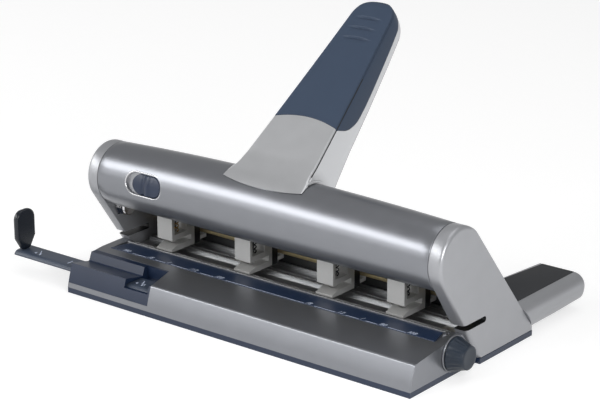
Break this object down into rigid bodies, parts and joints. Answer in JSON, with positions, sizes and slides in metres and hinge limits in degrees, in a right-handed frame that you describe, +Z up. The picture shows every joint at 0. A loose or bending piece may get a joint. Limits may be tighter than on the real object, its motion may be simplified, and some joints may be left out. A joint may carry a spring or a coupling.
{
  "type": "multi-hole punch",
  "caption": "Desktop paper punch with sliding punch units in a long barrel-topped silver bar, a tall lever with a soft grip, a pull-out side guide and rear feet.",
  "frame": {"origin": "on the rest plane under the middle of the bar: mid length of the base in X, the bar's axis in Y, the underside of the tray in Z", "axes": "+X along the bar towards the knob, +Y to the back, where the lever leans, +Z up"},
  "size_m": [0.4107, 0.2225, 0.2215],
  "materials": {
    "silver": "satin metallic silver paint",
    "silver_cast": "satin metallic silver paint on castings",
    "navy": "dark navy plastic, fine grain",
    "navy_print": "navy plastic with pale printed marks",
    "grip": "soft blue-grey grip",
    "black": "black plastic",
    "paddle": "glossy near-black navy plastic",
    "unit": "matt bead-blasted aluminium",
    "rail": "drawn aluminium",
    "steel": "ground steel",
    "chrome": "bright plated",
    "dark_steel": "dark spring steel",
    "brassy": "brassy spring wire",
    "yellow": "yellow passivated steel",
    "zinc": "zinc plated",
    "guide_grey": "blue-grey plastic with pale printed marks",
    "tab_white": "light grey plastic",
    "foot_top": "dark grey textured plastic",
    "rubber": "black rubber",
    "panel_dark": "dark grey paint"
  },
  "bodies": {
    "base": {"base_tray": "navy", "base_frame": "zinc", "front_cover": "silver", "scale_strip": "navy_print", "die_rail": "rail", "left_cheek": "silver_cast", "right_cheek": "silver_cast", "top_housing": "silver", "back_cover": "silver", "inner_panel": "panel_dark", "guide_bar": "yellow", "return_coils": "steel", "lock_bezel": "silver", "guide_housing": "navy_print", "knob_boss": "silver", "foot_left": "silver_cast", "foot_right": "silver_cast", "foot_cap_left": "foot_top", "foot_cap_right": "foot_top", "foot_pads": "rubber", "rest_pads": "rubber", "cover_screws": "zinc", "side_spring": "chrome", "spring_stud": "chrome"},
    "lever": {"lever_shaft": "steel", "lever_arms": "zinc", "cranks": "zinc", "crank_rollers": "brassy", "lever_shell": "silver_cast", "lever_grip": "grip", "lever_bolts": "zinc"},
    "press": {"press_bar": "yellow", "press_posts": "steel", "press_rods": "steel"},
    "lock": {"lock_slider": "navy"},
    "guide": {"guide_rail": "guide_grey", "side_stop": "paddle"},
    "knob": {"depth_knob": "navy", "knob_spindle": "steel"},
    "nut": {"margin_nut": "tab_white"},
    "punch_unit_1": {"unit_1": "unit", "carriage_1": "black", "hook_1": "tab_white", "pin_spring_1": "brassy"},
    "punch_pin_1": {"pin_1": "chrome"},
    "punch_unit_2": {"unit_2": "unit", "carriage_2": "black", "hook_2": "tab_white", "pin_spring_2": "dark_steel"},
    "punch_pin_2": {"pin_2": "chrome"},
    "punch_unit_3": {"unit_3": "unit", "carriage_3": "black", "hook_3": "tab_white", "pin_spring_3": "dark_steel"},
    "punch_pin_3": {"pin_3": "chrome"},
    "punch_unit_4": {"unit_4": "unit", "carriage_4": "black", "hook_4": "tab_white", "pin_spring_4": "dark_steel"},
    "punch_pin_4": {"pin_4": "chrome"}
  },
  "joints": [
    {"name": "lever_pivot", "type": "hinge", "parent": "base", "child": "lever", "pos_m": [0, 0, 0.0889], "axis": [-1, 0, 0], "range_deg": [0, 26], "stiffness_Nm_per_rad": 2, "springref_deg": -22.92},
    {"name": "press_slide", "type": "slide", "parent": "base", "child": "press", "axis": [0, 0, -1], "range_m": [0, 0.01], "deforming": ["return_coils"]},
    {"name": "unit_slide_1", "type": "slide", "parent": "base", "child": "punch_unit_1", "axis": [1, 0, 0], "range_m": [-0.012, 0.025]},
    {"name": "pin_slide_1", "type": "slide", "parent": "punch_unit_1", "child": "punch_pin_1", "axis": [0, 0, -1], "range_m": [0, 0.01], "deforming": ["pin_spring_1"]},
    {"name": "unit_slide_2", "type": "slide", "parent": "base", "child": "punch_unit_2", "axis": [1, 0, 0], "range_m": [-0.028, 0.025]},
    {"name": "pin_slide_2", "type": "slide", "parent": "punch_unit_2", "child": "punch_pin_2", "axis": [0, 0, -1], "range_m": [0, 0.01], "deforming": ["pin_spring_2"]},
    {"name": "unit_slide_3", "type": "slide", "parent": "base", "child": "punch_unit_3", "axis": [1, 0, 0], "range_m": [-0.025, 0.028]},
    {"name": "pin_slide_3", "type": "slide", "parent": "punch_unit_3", "child": "punch_pin_3", "axis": [0, 0, -1], "range_m": [0, 0.01], "deforming": ["pin_spring_3"]},
    {"name": "unit_slide_4", "type": "slide", "parent": "base", "child": "punch_unit_4", "axis": [1, 0, 0], "range_m": [-0.013, 0.027]},
    {"name": "pin_slide_4", "type": "slide", "parent": "punch_unit_4", "child": "punch_pin_4", "axis": [0, 0, -1], "range_m": [0, 0.01], "deforming": ["pin_spring_4"]},
    {"name": "lock_slide", "type": "slide", "parent": "base", "child": "lock", "axis": [-1, 0, 0], "range_m": [0, 0.006]},
    {"name": "guide_slide", "type": "slide", "parent": "base", "child": "guide", "axis": [-1, 0, 0], "range_m": [-0.025, 0.04]},
    {"name": "knob_turn", "type": "hinge", "parent": "base", "child": "knob", "pos_m": [0.1649, -0.003, 0.0175], "axis": [1, 0, 0], "range_deg": [-360, 360]},
    {"name": "nut_slide", "type": "slide", "parent": "base", "child": "nut", "axis": [1, 0, 0], "range_m": [-0.006, 0.006]}
  ],
  "couplings": [
    {"joint": "press_slide", "follows": "lever_pivot", "m_per_rad": 0.02203},
    {"joint": "pin_slide_1", "follows": "lever_pivot", "m_per_rad": 0.02203},
    {"joint": "pin_slide_2", "follows": "lever_pivot", "m_per_rad": 0.02203},
    {"joint": "pin_slide_3", "follows": "lever_pivot", "m_per_rad": 0.02203},
    {"joint": "pin_slide_4", "follows": "lever_pivot", "m_per_rad": 0.02203},
    {"joint": "nut_slide", "follows": "knob_turn", "m_per_rad": 0.000954}
  ]
}
